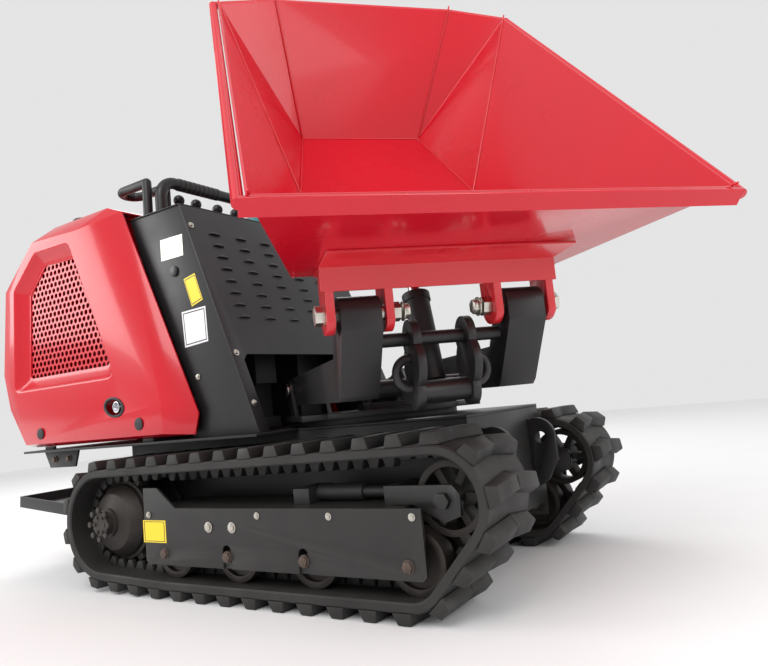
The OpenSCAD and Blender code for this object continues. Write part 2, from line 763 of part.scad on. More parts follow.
ear_t = 10;
module turntable() {
    ear_y = arm_w / 2 + ear_t / 2 + 0.5;
    color(black) slewed() {
        difference() {
            union() {
                translate([0, 0, table_z]) cylinder(r = turntable_r, h = turntable_t);
                translate([0, 0, table_z + turntable_t / 2]) cube([2 * 150, 2 * 205, turntable_t], center = true);
            }
            translate([0, 0, table_z - 1]) cylinder(r = 30, h = turntable_t + 2);
        }
        for (s = [-1, 1], o = [-1, 1]) difference() {
            translate([0, s * arm_half + o * ear_y, 0]) upright(ear_t) union() {
                polygon([[arm_x0 - 26, arm_pivot_z], [arm_x0 + 26, arm_pivot_z],
                         [arm_x0 + 80, table_top - 1], [arm_x0 - 20, table_top - 1]]);
                translate([arm_x0, arm_pivot_z]) circle(r = 26);
            }
            translate([arm_x0, s * arm_half, arm_pivot_z]) crossbar(pin_d / 2 + weld_gap, 200);
        }
        // Ears for the lift cylinder
        for (o = [-1, 1]) difference() {
            translate([0, o * 34, 0]) upright(12) union() {
                translate(lift_base) circle(r = 22);
                translate([lift_base[0] - 30, table_top - 1]) square([60, lift_base[1] - table_top + 1]);
            }
            translate([lift_base[0], 0, lift_base[1]]) crossbar(ram_pin_r, 120);
        }
        translate([lift_base[0], 0, lift_base[1]]) crossbar(ram_pin_r, 80);
        // Stop block under the nose of the arms
        translate([150, 0, table_top + 7]) cube([60, 150, 14], center = true);
    }
}

module arm_pins() {
    color(zinc) slewed() for (s = [-1, 1]) translate([arm_x0, s * arm_half, arm_pivot_z]) {
        crossbar(pin_d / 2, arm_w + 2 * ear_t + 3);
        translate([0, s * (arm_w / 2 + ear_t + 1), 0]) rotate([-s * 90, 0, 0]) cylinder(r = 17, h = 5);
    }
}

// Outline of one gooseneck arm, from its pivot forward and up to the skip pin
arm_outline = [[arm_x0 - 10, arm_bottom + 6], [skip_pin_fwd - leg_back - 12, arm_bottom],
               [skip_pin_fwd - leg_back, arm_bottom + 9],
               [skip_pin_fwd + arm_boss_r, skip_pin_z - 30], [skip_pin_fwd + arm_boss_r, skip_pin_z],
               [skip_pin_fwd - arm_boss_r, skip_pin_z], [skip_pin_fwd - 70, arm_bottom + arm_depth],
               [arm_x0, arm_pivot_z + 30]];
module lift_arms() {
    color(black) slewed() {
        difference() {
            for (s = [-1, 1]) translate([0, s * arm_half, 0]) upright(arm_w) {
                polygon(arm_outline);
                translate([skip_pin_fwd, skip_pin_z]) circle(r = arm_boss_r);
                translate([arm_x0, arm_pivot_z]) circle(r = 30);
            }
            for (s = [-1, 1]) {
                translate([arm_x0, s * arm_half, arm_pivot_z]) crossbar(pin_d / 2 + pin_gap, 150);
                translate([skip_pin_fwd, s * arm_half, skip_pin_z]) crossbar(pin_d / 2 + pin_gap, 90);
            }
        }
        translate([cross_x, 0, cross_up_z]) crossbar(cross_up_r, 2 * arm_half - arm_w + 4);
        translate([lift_bar[0], 0, lift_bar[1]]) crossbar(lift_bar_r, 2 * arm_half - arm_w + 4);
        // Clevis for the lift cylinder
        for (o = [-1, 1]) difference() {
            translate([0, o * 26, 0]) upright(10) hull() {
                translate(lift_eye) circle(r = 18, $fn = SLIM);
                translate(lift_bar) circle(r = lift_bar_r - 1, $fn = SLIM);
            }
            translate([lift_eye[0], 0, lift_eye[1]]) crossbar(ram_pin_r + 0.5, 90);
        }
    }
}

// Curved plates between the upper and the lower cross tubes
module link_plates() {
    color(black) slewed() {
        for (s = [-1, 1]) difference() {
            translate([0, s * link_half, 0]) upright(link_t) difference() {
                union() {
                    translate([cross_x - 26, cross_low_z]) square([52, cross_up_z - cross_low_z]);
                    translate([cross_x, cross_up_z]) circle(r = 34);
                    translate([cross_x, cross_low_z]) circle(r = 30);
                    translate([cross_x + 5, (cross_up_z + cross_low_z) / 2]) circle(r = 44);
                    translate(tip_base) circle(r = 19);
                    translate([tip_base[0], cross_low_z - 19]) square([cross_x - tip_base[0], 38]);
                }
            }
            translate([cross_x, 0, cross_up_z]) crossbar(cross_up_r + weld_gap, 200);
        }
        translate([cross_x, 0, cross_low_z]) crossbar(cross_low_r, 2 * link_half);
        translate([tip_base[0], 0, tip_base[1]]) crossbar(tip_pin_r, 2 * link_half);
    }
}

// ---- Cylinders ----

ram_r = 24;
rod_r = 12;
// A barrel from its eye part of the way to the far eye
module barrel(a, b, share) {
    d = (b - a) / norm(b - a);
    difference() {
        union() {
            ram(a + d * 16, a + d * share, ram_r);
            ram(a + d * (share - 16), a + d * share, ram_r + 3);
            translate([a[0], 0, a[1]]) crossbar(20, 40);
        }
        ram(a + d * 40, a + d * (share + 10), rod_r + pin_gap);
        translate([a[0], 0, a[1]]) crossbar(ram_pin_r + pin_gap, 60);
    }
}
lift_barrel_len = 200;
tip_barrel_len = 196;
module lift_barrel() { color(dark) slewed() barrel(lift_base, lift_eye, lift_barrel_len); }
module tip_barrel() {
    color(dark) slewed() difference() {
        d = (tip_eye - tip_base) / norm(tip_eye - tip_base);
        union() {
            ram(tip_base + d * 18, tip_base + d * tip_barrel_len, ram_r);
            ram(tip_base + d * (tip_barrel_len - 16), tip_base + d * tip_barrel_len, ram_r + 3);
            translate([tip_base[0], 0, tip_base[1]]) crossbar(22, 70);
        }
        ram(tip_base + d * 31, tip_base + d * (tip_barrel_len + 10), rod_r + pin_gap);
        translate([tip_base[0], 0, tip_base[1]]) crossbar(tip_pin_r + pin_gap, 90);
    }
}
module rod(a, b, inside) {
    d = (b - a) / norm(b - a);
    ram(a + d * inside, b - d * 14, rod_r);
    translate([b[0], 0, b[1]]) crossbar(15, 34);
}
module lift_rod() { color(chrome) slewed() rod(lift_base, lift_eye, 60); }
module tip_rod() { color(chrome) slewed() rod(tip_base, tip_eye, 131); }

// ---- Skip ----

function flip(p) = [p[0], -p[1], p[2]];
skip_pts = concat(skip_inner, [for (p = skip_inner) flip(p)],
                  [for (i = [0 : 5]) skip_inner[i] + skip_push[i]],
                  [for (i = [0 : 5]) flip(skip_inner[i] + skip_push[i])]);
// Inner faces on the left half, then the shared ones, wound to face the load
skip_half_faces = [[0, 3, 4], [0, 4, 1], [1, 4, 5], [1, 5, 2]];
function mirrored(f) = [f[2] + 6, f[1] + 6, f[0] + 6];
function outer(f) = [f[2] + 12, f[1] + 12, f[0] + 12];
skip_in_faces = concat(skip_half_faces, [for (f = skip_half_faces) mirrored(f)],
                       [[0, 6, 9], [0, 9, 3], [2, 5, 11], [2, 11, 8],
                        [3, 9, 10], [3, 10, 4], [4, 10, 11], [4, 11, 5]]);
skip_rim_loop = [0, 1, 2, 8, 7, 6];
skip_rim_faces = [for (i = [0 : 5]) let (a = skip_rim_loop[i], b = skip_rim_loop[(i + 1) % 6])
                  each [[a, b, b + 12], [a, b + 12, a + 12]]];
module skip_shell() {
    color(red) tipped() polyhedron(points = skip_pts,
        faces = concat(skip_in_faces, [for (f = skip_in_faces) outer(f)], skip_rim_faces));
}

// Tube along one edge of the rim, outside the sheet
module rim_tube(a, b, r) {
    d = b - a;
    translate(a) rotate([0, 0, atan2(d[1], d[0])]) rotate([0, 90, 0]) cylinder(r = r, h = norm(d));
    translate(b) sphere(r = r + 0.6);
}

// Outward normal of a rim edge in plan, and where two edges meet once moved out
function edge_normal(p, q) = let (d = [q[0] - p[0], q[1] - p[1]]) [d[1], -d[0]] / norm(d);
function moved_corner(p, n1, d1, n2, d2) =
    let (det = n1[0] * n2[1] - n1[1] * n2[0], c1 = d1 + n1 * [p[0], p[1]], c2 = d2 + n2 * [p[0], p[1]])
    [(c1 * n2[1] - c2 * n1[1]) / det, (n1[0] * c2 - n2[0] * c1) / det];

rim_gap = skip_t + rim_d / 2 + 0.3;
rim_low = rim_z - rim_d / 2;
module skip_rim() {
    n_side = edge_normal(skip_inner[1], skip_inner[0]) * -1;
    n_corner = edge_normal(skip_inner[2], skip_inner[1]) * -1;
    n_back = [-1, 0];
    c1 = moved_corner(skip_inner[1], n_side, rim_gap, n_corner, rim_gap + 1.4);
    c2 = moved_corner(skip_inner[2], n_corner, rim_gap + 1.4, n_back, rim_gap);
    corner = [[lip_fwd + 10, lip_half + rim_gap, rim_low], [c1[0], c1[1], rim_low],
              [c2[0], c2[1], rim_low]];
    color(red) tipped() {
        for (i = [0 : 1]) {
            rim_tube(corner[i], corner[i + 1], rim_d / 2);
            rim_tube(flip(corner[i]), flip(corner[i + 1]), rim_d / 2);
        }
        rim_tube(corner[2], flip(corner[2]), rim_d / 2);
        // Flat band under the lip, wide enough to meet the tubes
        translate([lip_fwd + skip_t + 0.3, -lip_half - rim_gap, rim_z - 26])
            cube([6, 2 * (lip_half + rim_gap), 26]);
    }
}

// Where the outside of the sloping front wall lies, at rest: height at a forward distance u
wall_p = skip_inner[3] + skip_push[3];
wall_q = skip_inner[0] + skip_push[0];
function at_rest(p) = [p[0] * cos(skip_tilt) + p[2] * sin(skip_tilt),
                       p[2] * cos(skip_tilt) - p[0] * sin(skip_tilt)];
wall_a = at_rest(wall_p);
wall_b = at_rest(wall_q);
wall_slope = (wall_b[1] - wall_a[1]) / (wall_b[0] - wall_a[0]);
function wall_h(u) = wall_a[1] + (u - wall_a[0]) * wall_slope - part_gap;
floor_back = at_rest([tip_eye_local[0] - 60, 0, floor_z - skip_t]);
function floor_h(u) = wall_a[1] + (u - wall_a[0]) * -tan(skip_tilt) - part_gap;

// Cross bar with four lugs that hang down to the pins, and the tip cylinder's ears
module skip_subframe() {
    u0 = wall_a[0];
    color(red) slewed() translate([skip_pin_fwd, 0, skip_pin_z]) difference() {
        union() {
            // Upright bar under the front wall, and its top plate laid on the wall
            upright(2 * subframe_half) polygon([[bar_front - bar_t, bar_low], [bar_front, bar_low],
                [bar_front, wall_h(bar_front) - 2], [bar_front - bar_t, wall_h(bar_front) - 2]]);
            upright(2 * subframe_half) polygon([[u0 + 8, wall_h(u0 + 8)], [u0 + 8, wall_h(u0 + 8) - 4],
                [bar_front + 80, wall_h(bar_front + 80) - 4], [bar_front + 80, wall_h(bar_front + 80)]]);
            for (s = [-1, 1], y = [lug_half, lug_half_out]) translate([0, s * y, 0]) upright(skip_lug_t) {
                polygon([[bar_front - 1, wall_h(bar_front) - 2], [u0 + 4, wall_h(u0 + 4) - 2], [-30, 0],
                         [bar_front - 1, 0]]);
                intersection() {
                    circle(r = 33);
                    translate([-40, -40]) square([40 + bar_front - 1, 60]);
                }
            }
            // Rails under the floor, and the ears for the tip cylinder
            for (s = [-1, 1]) translate([0, s * 110, 0]) upright(40)
                polygon([[u0 - 250, floor_h(u0 - 250)], [u0 - 3, floor_h(u0 - 3)],
                         [u0 + 1, wall_h(u0) - 1], [u0 + 20, wall_h(u0 + 20) - 2],
                         [u0 + 20, wall_h(u0 + 20) - 9], [u0 - 4, floor_h(u0 - 4) - 14],
                         [u0 - 250, floor_h(u0 - 250) - 14]]);
            upright(230) polygon([[u0 - 45, floor_h(u0 - 45) - 1], [u0 - 45, floor_h(u0 - 45) - 11],
                                  [u0 - 75, floor_h(u0 - 75) - 11], [u0 - 75, floor_h(u0 - 75) - 1]]);
            for (o = [-1, 1]) translate([0, o * 35, 0]) upright(10) union() {
                polygon([[u0 - 50, floor_h(u0 - 50) - 2], [u0 - 118, floor_h(u0 - 118) - 2],
                         at_rest([tip_eye_local[0] - 18, 0, tip_eye_local[1] - 8]),
                         at_rest([tip_eye_local[0] + 18, 0, tip_eye_local[1] - 8])]);
                translate(at_rest([tip_eye_local[0], 0, tip_eye_local[1]])) circle(r = 19);
            }
        }
        for (s = [-1, 1]) translate([0, s * arm_half, 0]) crossbar(pin_d / 2 + weld_gap, 200);
    }
}

module skip_pins() {
    color(zinc) tipped() for (s = [-1, 1]) translate([0, s * arm_half, 0]) {
        crossbar(pin_d / 2, 2 * (lug_half_out - arm_half) + skip_lug_t + 2);
        for (o = [-1, 1]) translate([0, o * (lug_half_out - arm_half + skip_lug_t / 2), 0])
            rotate([-o * 90, 0, 0]) hex_bolt(30, 16);
    }
}

// ---- Hoses ----

hose_r = 8;
hose_bend = 26;
module hoses() {
    color(rubber) slewed() for (s = [-1, 1])
        translate([cross_x, s * (link_half + link_t / 2 + part_gap), cross_low_z + 34])
            rotate([90, 0, 90]) rotate([0, 0, s > 0 ? -90 : 90])
                rotate_extrude(angle = 180) translate([hose_bend, 0]) circle(r = hose_r);
}

// ---- Drawing ----

chassis_frame();
deck_plate();
front_guard();
tow_hitch();
track_frame_right();
track_frame_left();
track_belt_right();
track_belt_left();
idler_yoke_right();
idler_yoke_left();
track_tensioners();
roller_axles();
drive_motors();
sprocket_right();
sprocket_left();
idler_right();
idler_left();
roller_right_1();
roller_right_2();
roller_right_3();
roller_right_4();
roller_left_1();
roller_left_2();
roller_left_3();
roller_left_4();
engine();
muffler();
hydraulic_pump();
hydraulic_tank();
valve_block();
louvred_panel();
side_panels();
top_cover();
hood();
grilles();
hood_plugs();
fuel_cap();
handlebar();
grip_loops();
lever_travel_right();
lever_travel_left();
lever_lift();
lever_tip();
throttle_lever();
platform();
platform_pins();
slew_ring();
turntable();
arm_pins();
lift_arms();
link_plates();
lift_barrel();
lift_rod();
tip_barrel();
tip_rod();
skip_shell();
skip_rim();
skip_subframe();
skip_pins();
hoses();
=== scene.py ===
import json
import math
import bpy
from mathutils import Matrix, Vector

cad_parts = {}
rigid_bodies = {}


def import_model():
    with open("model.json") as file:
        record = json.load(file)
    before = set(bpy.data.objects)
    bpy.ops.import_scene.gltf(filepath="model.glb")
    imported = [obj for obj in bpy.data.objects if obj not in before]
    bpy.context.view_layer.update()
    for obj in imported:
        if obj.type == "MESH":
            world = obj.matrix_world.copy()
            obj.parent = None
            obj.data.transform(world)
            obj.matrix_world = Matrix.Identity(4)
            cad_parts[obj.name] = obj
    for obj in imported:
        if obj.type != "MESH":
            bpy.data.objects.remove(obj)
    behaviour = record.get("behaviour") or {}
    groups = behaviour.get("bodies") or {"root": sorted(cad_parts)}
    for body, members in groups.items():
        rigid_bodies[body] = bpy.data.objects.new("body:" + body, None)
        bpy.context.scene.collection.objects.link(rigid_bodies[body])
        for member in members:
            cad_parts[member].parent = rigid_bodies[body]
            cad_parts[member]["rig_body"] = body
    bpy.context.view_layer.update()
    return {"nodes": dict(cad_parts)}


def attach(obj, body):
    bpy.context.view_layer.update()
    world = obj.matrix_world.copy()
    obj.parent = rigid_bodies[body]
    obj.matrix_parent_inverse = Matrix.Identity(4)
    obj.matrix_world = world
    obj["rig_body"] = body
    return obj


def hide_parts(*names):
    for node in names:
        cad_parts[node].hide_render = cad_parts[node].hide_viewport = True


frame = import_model()

MM = 0.001
DOUBLES = 0.00002  # points nearer than this, in metres, are one point
SLEW_REST = math.radians(-42.2)

# ---- Camera ----

EYE = Vector((0.9347, -1.3919, 0.3832))
YAW, PITCH, ROLL = math.radians(122.384), math.radians(6.909), math.radians(-5.703)


def place_camera():
    ahead = Vector((math.cos(PITCH) * math.cos(YAW), math.cos(PITCH) * math.sin(YAW), math.sin(PITCH)))
    level = ahead.cross(Vector((0, 0, 1))).normalized()
    upward = level.cross(ahead)
    right = level * math.cos(ROLL) + upward * math.sin(ROLL)
    up = upward * math.cos(ROLL) - level * math.sin(ROLL)
    turn = Matrix((right, up, -ahead)).transposed().to_4x4()
    lens = bpy.data.cameras.new("studio_camera")
    lens.lens, lens.sensor_width = 32.076, 36.0
    lens.shift_x, lens.shift_y = -0.0038, -0.0211
    lens.clip_start = 0.05
    camera = bpy.data.objects.new("studio_camera", lens)
    bpy.context.scene.collection.objects.link(camera)
    camera.matrix_world = Matrix.Translation(EYE) @ turn
    bpy.context.scene.camera = camera


# ---- Shader groups ----

def new_group(name, inputs, outputs):
    group = bpy.data.node_groups.new(name, "ShaderNodeTree")
    for label, kind, value in inputs:
        socket = group.interface.new_socket(name=label, in_out="INPUT", socket_type=kind)
        if value is not None:
            socket.default_value = value
    for label, kind in outputs:
        group.interface.new_socket(name=label, in_out="OUTPUT", socket_type=kind)
    start = group.nodes.new("NodeGroupInput")
    end = group.nodes.new("NodeGroupOutput")
    return group, start, end


def grain_group():
    """Fine and coarse noise for a coated or moulded skin: a height, and a mask of its cloudy patches."""
    group, start, end = new_group("surface_grain", [
        ("Fine Scale", "NodeSocketFloat", 900.0), ("Patch Scale", "NodeSocketFloat", 6.0)],
        [("Height", "NodeSocketFloat"), ("Patches", "NodeSocketFloat")])
    place = group.nodes.new("ShaderNodeTexCoord")
    for label, detail, out in (("Fine Scale", 2.0, "Height"), ("Patch Scale", 4.0, "Patches")):
        noise = group.nodes.new("ShaderNodeTexNoise")
        noise.inputs["Detail"].default_value = detail
        group.links.new(place.outputs["Object"], noise.inputs["Vector"])
        group.links.new(start.outputs[label], noise.inputs["Scale"])
        group.links.new(noise.outputs["Fac"], end.inputs[out])
    return group


def dust_group():
    """Mask of the dust that settles on faces that look up, thicker near the ground."""
    group, start, end = new_group("settled_dust", [
        ("Amount", "NodeSocketFloat", 0.3), ("Reach", "NodeSocketFloat", 0.3)],
        [("Mask", "NodeSocketFloat")])
    geometry = group.nodes.new("ShaderNodeNewGeometry")
    split = group.nodes.new("ShaderNodeSeparateXYZ")
    group.links.new(geometry.outputs["Normal"], split.inputs[0])
    place = group.nodes.new("ShaderNodeTexCoord")
    where = group.nodes.new("ShaderNodeSeparateXYZ")
    group.links.new(place.outputs["Object"], where.inputs[0])
    low = group.nodes.new("ShaderNodeMapRange")
    group.links.new(where.outputs["Z"], low.inputs["Value"])
    group.links.new(start.outputs["Reach"], low.inputs["From Max"])
    low.inputs["From Min"].default_value = 0.0
    low.inputs["To Min"].default_value = 1.0
    low.inputs["To Max"].default_value = 0.25
    noise = group.nodes.new("ShaderNodeTexNoise")
    noise.inputs["Scale"].default_value = 18.0
    noise.inputs["Detail"].default_value = 6.0
    group.links.new(place.outputs["Object"], noise.inputs["Vector"])
    facing = group.nodes.new("ShaderNodeMapRange")
    facing.inputs["From Min"].default_value = -0.6
    facing.inputs["From Max"].default_value = 1.0
    group.links.new(split.outputs["Z"], facing.inputs["Value"])
    value = facing.outputs["Result"]
    for other in (noise.outputs["Fac"], low.outputs["Result"], start.outputs["Amount"]):
        times = group.nodes.new("ShaderNodeMath")
        times.operation = "MULTIPLY"
        group.links.new(value, times.inputs[0])
        group.links.new(other, times.inputs[1])
        value = times.outputs[0]
    group.links.new(value, end.inputs["Mask"])
    return group


GRAIN = grain_group()
DUST = dust_group()


def finish(name, colour, deep, rough, fine=900.0, bump=0.05, depth=0.0004, metal=0.0, coat=0.0,
           dust=0.0, dust_colour=(0.30, 0.27, 0.23), reach=0.4, patch=6.0, specular=0.5):
    """A skin whose colour clouds between two tones, with grain, a roughness that varies and dust."""
    material = bpy.data.materials.new(name)
    material.use_nodes = True
    nodes, links = material.node_tree.nodes, material.node_tree.links
    shader = nodes["Principled BSDF"]
    shader.inputs["Metallic"].default_value = metal
    shader.inputs["Coat Weight"].default_value = coat
    shader.inputs["Coat Roughness"].default_value = 0.06
    shader.inputs["Specular IOR Level"].default_value = specular
    grain = nodes.new("ShaderNodeGroup")
    grain.node_tree = GRAIN
    grain.inputs["Fine Scale"].default_value = fine
    grain.inputs["Patch Scale"].default_value = patch
    tone = nodes.new("ShaderNodeMix")
    tone.data_type = "RGBA"
    tone.inputs["A"].default_value = (*colour, 1)
    tone.inputs["B"].default_value = (*deep, 1)
    links.new(grain.outputs["Patches"], tone.inputs["Factor"])
    base = tone.outputs["Result"]
    shine = nodes.new("ShaderNodeMapRange")
    shine.inputs["From Min"].default_value = 0.3
    shine.inputs["From Max"].default_value = 0.7
    shine.inputs["To Min"].default_value = rough[0]
    shine.inputs["To Max"].default_value = rough[1]
    links.new(grain.outputs["Patches"], shine.inputs["Value"])
    if dust:
        settled = nodes.new("ShaderNodeGroup")
        settled.node_tree = DUST
        settled.inputs["Amount"].default_value = dust
        settled.inputs["Reach"].default_value = reach
        cover = nodes.new("ShaderNodeMix")
        cover.data_type = "RGBA"
        links.new(settled.outputs["Mask"], cover.inputs["Factor"])
        links.new(base, cover.inputs["A"])
        cover.inputs["B"].default_value = (*dust_colour, 1)
        base = cover.outputs["Result"]
    links.new(base, shader.inputs["Base Color"])
    links.new(shine.outputs["Result"], shader.inputs["Roughness"])
    relief = nodes.new("ShaderNodeBump")
    relief.inputs["Strength"].default_value = bump
    relief.inputs["Distance"].default_value = depth
    links.new(grain.outputs["Height"], relief.inputs["Height"])
    links.new(relief.outputs["Normal"], shader.inputs["Normal"])
    return material


GLOSS_RED = finish("gloss_red_paint", (0.60, 0.003, 0.016), (0.52, 0.002, 0.012), (0.16, 0.24),
                   fine=260.0, bump=0.03, coat=0.35, dust=0.015, specular=0.4)
SKIP_RED = finish("skip_red_paint", (0.62, 0.003, 0.018), (0.52, 0.003, 0.014), (0.20, 0.30),
                  fine=220.0, bump=0.05, coat=0.3, dust=0.015, specular=0.4)
BAR_RED = finish("bar_red_paint", (0.66, 0.02, 0.03), (0.56, 0.012, 0.02), (0.26, 0.36),
                 fine=300.0, bump=0.05, coat=0.4, dust=0.04)
BLACK_COAT = finish("black_powder_coat", (0.010, 0.010, 0.011), (0.007, 0.007, 0.008), (0.36, 0.50),
                    fine=1400.0, bump=0.12, dust=0.10)
FRAME_COAT = finish("track_frame_coat", (0.012, 0.012, 0.012), (0.008, 0.008, 0.008), (0.38, 0.52),
                    fine=1200.0, bump=0.14, dust=0.16)
PANEL_COAT = finish("panel_grey_coat", (0.026, 0.026, 0.028), (0.019, 0.019, 0.021), (0.42, 0.54),
                    fine=1500.0, bump=0.14, dust=0.05)
TRACK_RUBBER = finish("track_rubber", (0.016, 0.015, 0.014), (0.009, 0.009, 0.009), (0.5, 0.75),
                      fine=500.0, bump=0.35, depth=0.0008, dust=0.30, dust_colour=(0.10, 0.09, 0.08),
                      reach=0.9, patch=14.0)
TRIM_RUBBER = finish("trim_rubber", (0.020, 0.020, 0.020), (0.014, 0.014, 0.014), (0.45, 0.6),
                     fine=700.0, bump=0.2)
HOSE = finish("wrapped_hose", (0.020, 0.020, 0.020), (0.008, 0.008, 0.008), (0.4, 0.6), fine=140.0,
              bump=0.6, depth=0.0015, patch=60.0)
WORN_STEEL = finish("worn_roller_steel", (0.045, 0.040, 0.036), (0.022, 0.019, 0.018), (0.42, 0.65),
                    fine=420.0, bump=0.25, metal=0.35, dust=0.3, dust_colour=(0.16, 0.11, 0.08), patch=9.0)
DARK_CAST = finish("dark_cast_iron", (0.022, 0.022, 0.022), (0.013, 0.013, 0.013), (0.45, 0.6),
                   fine=650.0, bump=0.4, depth=0.0008, dust=0.12)
ZINC = finish("zinc_plate", (0.62, 0.60, 0.55), (0.46, 0.44, 0.38), (0.24, 0.4), fine=800.0,
              bump=0.06, metal=1.0, patch=40.0)
AGED_ZINC = finish("aged_zinc", (0.16, 0.12, 0.10), (0.07, 0.05, 0.04), (0.35, 0.55), fine=500.0,
                   bump=0.15, metal=0.7, patch=60.0)
BRASS = finish("brass_fitting", (0.55, 0.45, 0.30), (0.42, 0.33, 0.2), (0.25, 0.4), fine=800.0,
               bump=0.06, metal=1.0, patch=40.0)
CHROME = finish("chrome_rod", (0.78, 0.78, 0.80), (0.66, 0.66, 0.68), (0.06, 0.14), fine=900.0,
                bump=0.02, metal=1.0, patch=20.0)
TEAL = finish("teal_valve_paint", (0.045, 0.30, 0.30), (0.03, 0.22, 0.23), (0.35, 0.5), fine=600.0,
              bump=0.15)
BLUE = finish("blue_hose_sleeve", (0.03, 0.12, 0.26), (0.02, 0.08, 0.19), (0.4, 0.55), fine=600.0,
              bump=0.15)
KNOB = finish("knob_plastic", (0.014, 0.014, 0.014), (0.01, 0.01, 0.01), (0.28, 0.4), fine=900.0,
              bump=0.06)
YELLOW = finish("yellow_label", (0.92, 0.70, 0.02), (0.86, 0.62, 0.02), (0.3, 0.42), fine=900.0,
                bump=0.03)
WHITE = finish("white_label", (0.82, 0.82, 0.84), (0.74, 0.74, 0.77), (0.3, 0.42), fine=900.0,
               bump=0.03)
# Black for label print, and also used as painted shade under the louvres.
INK_AND_PAINTED_SHADE = finish("label_ink_and_painted_shade", (0.02, 0.02, 0.02), (0.03, 0.03, 0.03), (0.4, 0.5), fine=900.0, bump=0.03)

# ---- Making pieces ----


def let_go():
    if bpy.context.object and bpy.context.object.mode != "OBJECT":
        bpy.ops.object.mode_set(mode="OBJECT")
    bpy.ops.object.select_all(action="DESELECT")


def take(piece):
    let_go()
    piece.select_set(True)
    bpy.context.view_layer.objects.active = piece


def fix_place(piece):
    take(piece)
    bpy.ops.object.transform_apply(location=True, rotation=True, scale=True)
    return piece


def apply_all(piece):
    take(piece)
    for name in [m.name for m in piece.modifiers]:
        bpy.ops.object.modifier_apply(modifier=name)
    return piece


def soften(piece, width, segments=2, angle=30.0):
    """Rounds the sharp edges, width in mm."""
    bevel = piece.modifiers.new("round_edges", "BEVEL")
    bevel.width, bevel.segments = width * MM, segments
    bevel.limit_method, bevel.angle_limit = "ANGLE", math.radians(angle)
    bevel.harden_normals = False
    return apply_all(piece)


def smooth(piece, angle=32.0):
    take(piece)
    bpy.ops.object.shade_smooth_by_angle(angle=math.radians(angle))
    return piece


def block(low, high):
    """Box between two corners, in mm."""
    let_go()
    bpy.ops.mesh.primitive_cube_add(size=1)
    piece = bpy.context.object
    piece.location = [(a + b) / 2 * MM for a, b in zip(low, high)]
    piece.scale = [abs(b - a) * MM for a, b in zip(low, high)]
    return fix_place(piece)


def bar(start, end, radius, sides=32, far_radius=None):
    """Round bar or cone between two points, in mm."""
    a, b = Vector(start) * MM, Vector(end) * MM
    let_go()
    bpy.ops.mesh.primitive_cone_add(vertices=sides, radius1=radius * MM, depth=(b - a).length,
                                    radius2=(radius if far_radius is None else far_radius) * MM)
    piece = bpy.context.object
    piece.rotation_mode = "QUATERNION"
    piece.rotation_quaternion = (b - a).to_track_quat("Z", "Y")
    piece.location = (a + b) / 2
    return fix_place(piece)


def ring(points, y):
    """Closed wire through points given in x and z, at one y."""
    let_go()
    bpy.ops.mesh.primitive_circle_add(vertices=len(points), radius=1, fill_type="NOTHING")
    piece = bpy.context.object
    for vertex, (x, z) in zip(piece.data.vertices, points):
        vertex.co = (x * MM, y * MM, z * MM)
    return piece


def join(pieces):
    let_go()
    for piece in pieces:
        piece.select_set(True)
    bpy.context.view_layer.objects.active = pieces[0]
    if len(pieces) > 1:
        bpy.ops.object.join()
    return bpy.context.view_layer.objects.active


def close(piece):
    """Merges doubles and turns the faces outwards."""
    take(piece)
    bpy.ops.object.mode_set(mode="EDIT")
    bpy.ops.mesh.select_all(action="SELECT")
    bpy.ops.mesh.remove_doubles(threshold=DOUBLES)
    bpy.ops.mesh.normals_make_consistent(inside=False)
    bpy.ops.object.mode_set(mode="OBJECT")
    return piece


def plate(points, low, high):
    """Flat plate with an outline in x and z, between two y, in mm."""
    piece = ring(points, low)
    bpy.ops.object.mode_set(mode="EDIT")
    bpy.ops.mesh.select_all(action="SELECT")
    bpy.ops.mesh.edge_face_add()
    bpy.ops.mesh.extrude_region_move(TRANSFORM_OT_translate={"value": (0, (high - low) * MM, 0)})
    bpy.ops.object.mode_set(mode="OBJECT")
    return close(piece)


def bridge(first, second):
    piece = join([first, second])
    bpy.ops.object.mode_set(mode="EDIT")
    bpy.ops.mesh.select_all(action="SELECT")
    bpy.ops.mesh.bridge_edge_loops()
    bpy.ops.object.mode_set(mode="OBJECT")
    return piece


def cut(piece, cutter):
    work = piece.modifiers.new("cut", "BOOLEAN")
    work.operation, work.object, work.solver = "DIFFERENCE", cutter, "EXACT"
    apply_all(piece)
    bpy.data.objects.remove(cutter)
    return piece


def copy_of(piece, matrix=None):
    twin = piece.copy()
    twin.data = piece.data.copy()
    bpy.context.scene.collection.objects.link(twin)
    if matrix is not None:
        twin.data.transform(matrix)
        if matrix.determinant() < 0:
            twin.data.flip_normals()
    return twin


def mirrored(piece):
    return copy_of(piece, Matrix.Diagonal((1, -1, 1, 1)))


def slewed(piece):
    """Turns a piece drawn facing straight ahead to the rest angle of the upper works."""
    piece.data.transform(Matrix.Rotation(SLEW_REST, 4, "Z"))
    return piece


def settle(piece, name, body, material, replaced=()):
    piece.name = piece.data.name = name
    piece.data.materials.clear()
    for each in (material if isinstance(material, tuple) else (material,)):
        piece.data.materials.append(each)
    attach(piece, body)
    if replaced:
        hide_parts(*replaced)
    return piece


def merged_copy(node):
    """A copy of a designed part with its doubled points merged and its triangles dissolved into faces."""
    source = frame["nodes"][node]
    piece = source.copy()
    piece.data = source.data.copy()
    for key in list(piece.keys()):
        del piece[key]
    piece.parent = None
    bpy.context.scene.collection.objects.link(piece)
    take(piece)
    bpy.ops.object.mode_set(mode="EDIT")
    bpy.ops.mesh.select_all(action="SELECT")
    bpy.ops.mesh.remove_doubles(threshold=DOUBLES)
    bpy.ops.mesh.dissolve_limited(angle_limit=math.radians(1.0))
    bpy.ops.object.mode_set(mode="OBJECT")
    return piece


